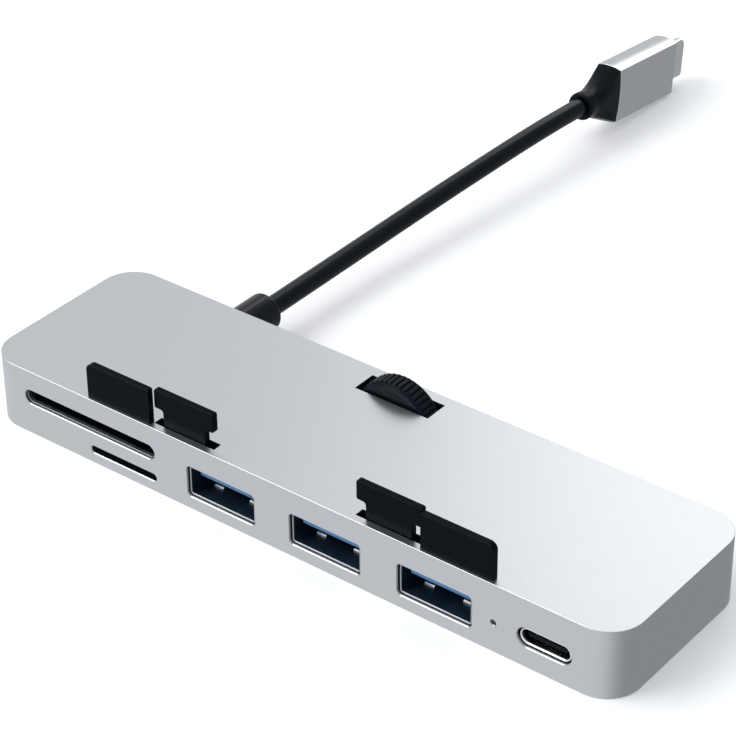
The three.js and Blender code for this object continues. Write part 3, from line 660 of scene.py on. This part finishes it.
def slot_cutters():
    """Slots in the top face for the wheel, the hooks and the tabs' stems."""
    wheel_gap, wheel_half = 0.4, 7.25
    hook_half, stem_half = HOOK_HEAD / 2 + 0.1, STEM_HALF + 0.05
    wheel_slot = slot_cutter(0, wheel_half, WHEEL_Y - wheel_gap, WHEEL_Y + WHEEL_THICK + wheel_gap)
    hook_slots = [slot_cutter(x, hook_half, HOOK_FRONT - 0.15, HOOK_FRONT + 1.6) for x in (-HOOK_X, HOOK_X)]
    stem_slots = [slot_cutter(x, stem_half, STEM_FRONT - 0.05, STEM_BACK + 0.05) for x in (-TAB_X, TAB_X)]
    return [wheel_slot, *hook_slots, *stem_slots]


def screw_bosses():
    """Round posts under the ceiling, where the cover's screws go in."""
    r, low = 2.4, 0.95
    outline = arc(0, 0, r, 0, 345, 23)
    bosses = []
    for x, y in SCREW_SPOTS:
        rings = [[(x + p, y + q, z) for p, q in outline] for z in (low, CEILING + 0.3)]
        bosses.append(outward(make_mesh("cutter", *skin(rings), "shell_aluminium")))
    return bosses


def make_casing():
    casing = casing_block()
    combine(casing, [room_cutter(), *port_cutters(), boot_cutter(), *slot_cutters()])
    combine(casing, screw_bosses(), "UNION")
    return finish_piece(even_out(casing), ["top_shell"])


make_casing()

# ------------------------------------------------------------------ tabs and hooks


def chamfered_side(front, thick, chamfer, foot):
    """Side outline of a standing plate with its top front edge cut off; foot lists the lower points."""
    back = front + thick
    return [*foot, (back, STAND_TOP), (front + chamfer, STAND_TOP), (front, STAND_TOP - chamfer)]


def make_tab(side, name):
    half = TAB_WIDTH / 2
    outer, inner = 1.2, 0.35
    low = CEILING - 0.95
    x = side * TAB_X
    left_r, right_r = (outer, inner) if side < 0 else (inner, outer)
    stem = [(-STEM_HALF, TOP), (-STEM_HALF, low), (STEM_HALF, low), (STEM_HALF, TOP)]
    outline = [(-half, TOP), *stem, (half, TOP)]
    outline += arc(half - right_r, STAND_TOP - right_r, right_r, 0, 90)
    outline += arc(-half + left_r, STAND_TOP - left_r, left_r, 90, 180)
    plate = front_prism(name, outline, FRONT, FRONT + 7, "black_metal", x=x)
    foot_low = CEILING - 0.9
    foot = [
        (TAB_FRONT, TOP),
        (STEM_FRONT, TOP),
        (STEM_FRONT, foot_low),
        (STEM_FOOT, foot_low),
        (STEM_FOOT, CEILING),
        (STEM_BACK, CEILING),
    ]
    side_outline = chamfered_side(TAB_FRONT, TAB_THICK, PLATE_CHAMFER, foot)
    shape = side_prism("cutter", side_outline, x - PLATE_REACH, x + PLATE_REACH, "black_metal")
    tab = combine(plate, [shape], "INTERSECT")
    return finish_piece(soften(tab, PLATE_ROUND, 2), [name.replace("_plate", "")])


def make_hook(side, name, node):
    head, neck, under = HOOK_HEAD / 2, HOOK_NECK / 2, 15.1
    foot_low, foot_high = 9.2, 10.1
    fillet, lower, upper = 0.55, 0.33, 0.3
    outline = [(neck, foot_low), *arc(neck + fillet, under - fillet, fillet, 180, 90)]
    outline += arc(head - lower, under + lower, lower, -90, 0)
    outline += arc(head - upper, STAND_TOP - upper, upper, 0, 90)
    outline += [(-x, z) for x, z in reversed(outline)]
    x = side * HOOK_X
    plate = front_prism(name, outline, FRONT, FRONT + 20, "black_metal", x=x)
    back = HOOK_FRONT + HOOK_THICK
    foot = [(HOOK_FRONT, foot_low), (HOOK_FOOT, foot_low), (HOOK_FOOT, foot_high), (back, foot_high)]
    side_outline = chamfered_side(HOOK_FRONT, HOOK_THICK, PLATE_CHAMFER, foot)
    shape = side_prism("cutter", side_outline, x - PLATE_REACH, x + PLATE_REACH, "black_metal")
    hook = combine(plate, [shape], "INTERSECT")
    return finish_piece(soften(hook, PLATE_ROUND, 2), [node], body="lifting_frame")


make_tab(-1, "fixed_tab_left_plate")
make_tab(1, "fixed_tab_right_plate")
make_hook(-1, "hook_plate_left", "hook_left")
make_hook(1, "hook_plate_right", "hook_right")

# ------------------------------------------------------------------ thumbwheel


def make_wheel():
    ribs = 46
    valley = WHEEL_R - 0.35
    bare = WHEEL_R - 0.7
    # Share of a rib's pitch and height above the groove: flat groove, rounded shoulder, flat top, shoulder.
    rib = [(0, 0), (0.16, 0), (0.2, 0.5), (0.27, 0.93), (0.36, 1), (0.8, 1), (0.89, 0.93), (0.96, 0.5)]

    def ring(y, low, high):
        points = []
        for k in range(ribs):
            for share, height in rib:
                a = 2 * math.pi * (k + share) / ribs
                r = low + (high - low) * height
                points.append((r * math.cos(a), y, WHEEL_Z + r * math.sin(a)))
        return points

    # From the dished face to the full ribs: depth into the wheel, radius of the grooves and of the ribs.
    shoulder = [
        (0.08, bare - 0.9, bare - 0.9),
        (0, bare - 0.6, bare - 0.6),
        (0, bare, bare),
        (0.3, valley, valley),
        (0.6, valley, WHEEL_R),
    ]
    rings = [ring(WHEEL_Y + inward, low, high) for inward, low, high in shoulder]
    rings += [ring(WHEEL_Y + WHEEL_THICK - inward, low, high) for inward, low, high in reversed(shoulder)]
    wheel = outward(make_mesh("thumbwheel_ribbed", *skin(rings), "satin_black", smooth=40))
    axis = (0, WHEEL_Z)
    collar_r, bore_r = 2, 1.28
    collar_ends = [(collar_r, WHEEL_Y - 0.35), (collar_r, WHEEL_Y + 0.5)]
    collar = turned("cutter", collar_ends, axis, "black_plastic", steps=48)
    bore = turned("cutter", [(bore_r, WHEEL_Y - 1), (bore_r, WHEEL_Y + 5)], axis, "black_plastic", steps=32)
    combine(wheel, [collar], "UNION")
    combine(wheel, [bore])
    return finish_piece(even_out(wheel), ["thumbwheel"], body="wheel")


make_wheel()

# ------------------------------------------------------------------ ports

SET_BACK = 0.45
USB_A_SLEEVE = dict(size=(13.34, 5.42, 0.6), wall=0.34, lip=0.15)
USB_C_SLEEVE = dict(size=(9.2, 3.16, 1.57), wall=0.48, lip=0.6)
USB_A_BACK, USB_C_BACK = -3.4, FRONT + 7.6
BLADE_TIP, BLADE_LOW, BLADE_HIGH = FRONT + 1.8, USB_A["z"] + 0.35, USB_A["z"] + 2.05


def tube_mesh(name, y0, y1, material, x, z, size, wall, lip):
    """A sheet metal sleeve whose front rim is rounded over; size is its outer (width, height, corner)."""

    def ring(inset, y):
        w, h, r = size
        return facing_front(rounded_rect(w - 2 * inset, h - 2 * inset, max(r - inset, 0.05), 10), y, x, z)

    rings = [ring(0, y1)]
    steps = 8
    for i in range(steps + 1):
        a = math.pi * i / steps
        rings.append(ring(wall * (1 - math.cos(a)) / 2, y0 + lip * (1 - math.sin(a))))
    rings.append(ring(wall, y1))
    return outward(make_mesh(name, *skin(rings, closed_ends=False), material, smooth=60))


def darken_inside(piece, depth):
    """Gives the faces that lie deeper than depth, in millimetres, an unlit look."""
    piece.data.materials.append(MATERIALS["socket_shade"])
    for face in piece.data.polygons:
        if face.center.y > depth * MM:
            face.material_index = 1


def make_usb_a_sleeve(i, x):
    """The steel sleeve, with two springs that stand up from its floor."""
    name, z = f"usb_a_sleeve_{i}", USB_A["z"]
    sleeve = tube_mesh(name, FRONT + SET_BACK, USB_A_BACK, "socket_steel", x, z, **USB_A_SLEEVE)
    darken_inside(sleeve, FRONT + 1)
    floor = z - 2.35
    spring_front, spring_back = FRONT + 3.7, FRONT + 8
    profile = [
        (spring_front, floor + 0.05),
        (spring_front + 0.05, floor + 0.3),
        (spring_front + 0.25, floor + 0.5),
        (spring_front + 0.7, floor + 0.55),
        (spring_back, floor + 0.1),
        (spring_back, floor - 0.05),
        (spring_front, floor - 0.05),
    ]
    spring_x, spring_half = 3.6, 0.9
    springs = []
    for centre in (x - spring_x, x + spring_x):
        ends = (centre - spring_half, centre + spring_half)
        springs.append(side_prism("cutter", profile, *ends, "socket_steel"))
    combine(sleeve, springs, "UNION")
    finish_piece(even_out(sleeve), [f"usb_a_shell_{i}"])


def make_usb_a_tongue(i, x):
    """The blue blade, on the block that holds it at the back of the sleeve."""
    z, back = USB_A["z"], USB_A_BACK
    blade_half, root_half, root_rise = 5.55, 5.8, 2.2
    blade = [
        (BLADE_TIP, BLADE_LOW + 0.3),
        (BLADE_TIP + 0.25, BLADE_LOW),
        (back - 1, BLADE_LOW),
        (back - 1, BLADE_HIGH),
        (BLADE_TIP + 0.25, BLADE_HIGH),
        (BLADE_TIP, BLADE_HIGH - 0.3),
    ]
    tongue = side_prism(f"usb_a_blade_{i}", blade, x - blade_half, x + blade_half, "blue_plastic")
    root_low = (x - root_half, back - 2.6, z - root_rise)
    root_high = (x + root_half, back - 0.1, z + root_rise)
    root = block("cutter", root_low, root_high, "blue_plastic")
    combine(tongue, [root], "UNION")
    finish_piece(soften(tongue, 0.08, 2), [f"usb_a_tongue_{i}"])


def make_usb_a_contacts(i, x):
    """Four long contacts and, in front of them, five short ones under the blade."""
    under, into = BLADE_LOW - 0.04, BLADE_LOW + 0.02
    long_pitch, long_half = 2.2, 0.5
    short_pitch, short_half = 1.9, 0.28
    pads = []
    for k in range(4):
        px = x + (k - 1.5) * long_pitch
        pads.append(((px - long_half, BLADE_TIP + 1.2, under), (px + long_half, USB_A_BACK - 3, into)))
    for k in range(5):
        px = x + (k - 2) * short_pitch
        pads.append(((px - short_half, BLADE_TIP + 0.4, under), (px + short_half, BLADE_TIP + 0.95, into)))
    finish_piece(make_pads(f"usb_a_contacts_{i}", pads))


def make_pads(name, pads):
    """Small contact strips, all in one mesh; pads lists each one's low and high corner."""
    points, faces = [], []
    for low, high in pads:
        n = len(points)
        outline = box_outline(low, high)
        p, f = skin([facing_front(outline, low[1]), facing_front(outline, high[1])])
        points += p
        faces += [tuple(n + v for v in face) for face in f]
    return outward(make_mesh(name, points, faces, "gold_contact"))


def make_usb_c_sleeve():
    sleeve = tube_mesh(
        "usb_c_sleeve", FRONT + 0.4, USB_C_BACK, "port_steel", USB_C_X, USB_C["z"], **USB_C_SLEEVE
    )
    finish_piece(even_out(sleeve), ["usb_c_shell"])


def make_usb_c_tongue():
    """The thin blade, on the block that holds it at the back of the sleeve."""
    x, z = USB_C_X, USB_C["z"]
    blade_outline = rounded_rect(6.7, 0.7, 0.2, 4)
    tongue = front_prism("usb_c_blade", blade_outline, FRONT + 1, USB_C_BACK - 1, "satin_black", x, z)
    root_outline = rounded_rect(8.1, 2.4, 1.19, 8)
    root = front_prism("cutter", root_outline, USB_C_BACK - 2, USB_C_BACK - 0.1, "black_plastic", x, z)
    combine(tongue, [root], "UNION")
    finish_piece(soften(tongue, 0.05, 2), ["usb_c_tongue"])


def make_usb_c_contacts():
    """Twelve contacts on each face of the blade."""
    x, z = USB_C_X, USB_C["z"]
    pitch, half, y0, y1 = 0.5, 0.12, FRONT + 1.5, FRONT + 4.6
    pads = []
    for k in range(12):
        px = x + (k - 5.5) * pitch
        for pz in (z - 0.35, z + 0.35):
            pads.append(((px - half, y0, pz - 0.02), (px + half, y1, pz + 0.02)))
    finish_piece(make_pads("usb_c_contacts", pads))


def make_card_rim():
    """A thin sheet rim inside the larger card slot, whose rounded lip catches a line of light."""
    size = (SD["width"] - 0.1, SD["height"] - 0.1, SD["r"] - 0.05)
    y0, y1 = FRONT + 0.5, FRONT + FRONT_WALL + 0.05
    rim = tube_mesh("sd_rim", y0, y1, "socket_steel", SD_X, SD["z"], size=size, wall=0.13, lip=0.06)
    finish_piece(rim)


for number, port_x in enumerate(USB_A_X, 1):
    make_usb_a_sleeve(number, port_x)
    make_usb_a_tongue(number, port_x)
    make_usb_a_contacts(number, port_x)
make_usb_c_sleeve()
make_usb_c_tongue()
make_usb_c_contacts()
make_card_rim()

# ------------------------------------------------------------------ floor and light


def make_floor():
    material = bpy.data.materials.new("floor")
    material.use_nodes = True
    shader = material.node_tree.nodes["Principled BSDF"]
    shader.inputs["Base Color"].default_value = (0.95, 0.955, 0.96, 1)
    shader.inputs["Roughness"].default_value = 0.9
    shader.inputs["Specular IOR Level"].default_value = 0.1
    shader.inputs["Emission Strength"].default_value = 0.1
    mesh = bpy.data.meshes.new("floor")
    half = 3
    corners = [(-half, -half, 0), (half, -half, 0), (half, half, 0), (-half, half, 0)]
    mesh.from_pydata(corners, [], [(0, 1, 2, 3)])
    mesh.materials.append(material)
    floor = bpy.data.objects.new("floor", mesh)
    floor.location.z = -0.00005
    # Shiny walls mirror the studio around the hub, not the floor.
    floor.visible_glossy = False
    bpy.context.scene.collection.objects.link(floor)


def softbox(name, azimuth, elevation, distance, width, height, power):
    """An area light that looks at the hub, in metres, degrees and watts.

    Azimuth 0 is behind the hub and 90 to its left.
    """
    a, e = math.radians(azimuth), math.radians(elevation)
    towards = Vector((-math.sin(a) * math.cos(e), math.cos(a) * math.cos(e), math.sin(e)))
    data = bpy.data.lights.new(name, "AREA")
    data.shape = "RECTANGLE"
    data.size, data.size_y = width, height
    data.energy = power
    light = bpy.data.objects.new(name, data)
    light.location = towards * distance
    light.rotation_mode = "QUATERNION"
    light.rotation_quaternion = towards.to_track_quat("Z", "Y")
    bpy.context.scene.collection.objects.link(light)


def make_light():
    world = bpy.data.worlds.new("studio")
    world.use_nodes = True
    nodes, links = world.node_tree.nodes, world.node_tree.links
    background = nodes["Background"]
    background.inputs["Color"].default_value = (0.95, 0.97, 1, 1)
    # The studio is brightest to the left and in front, and dim to the right and behind.
    towards = nodes.new("ShaderNodeVectorMath")
    towards.operation = "DOT_PRODUCT"
    towards.inputs[1].default_value = Vector((-0.6, -0.65, 0.3)).normalized()
    links.new(nodes.new("ShaderNodeTexCoord").outputs["Generated"], towards.inputs[0])
    strength = nodes.new("ShaderNodeMapRange")
    strength.interpolation_type = "SMOOTHSTEP"
    strength.inputs["From Min"].default_value = -0.7
    strength.inputs["From Max"].default_value = 0.3
    strength.inputs["To Min"].default_value = 0.4
    strength.inputs["To Max"].default_value = 0.89
    links.new(towards.outputs["Value"], strength.inputs["Value"])
    links.new(strength.outputs["Result"], background.inputs["Strength"])
    bpy.context.scene.world = world
    softbox("back_softbox", azimuth=16, elevation=34, distance=1.0, width=0.52, height=0.46, power=1.0)
    softbox("front_softbox", azimuth=132, elevation=46, distance=1.1, width=0.7, height=0.7, power=6)
    bpy.context.scene.view_settings.view_transform = "Standard"


make_floor()
make_light()
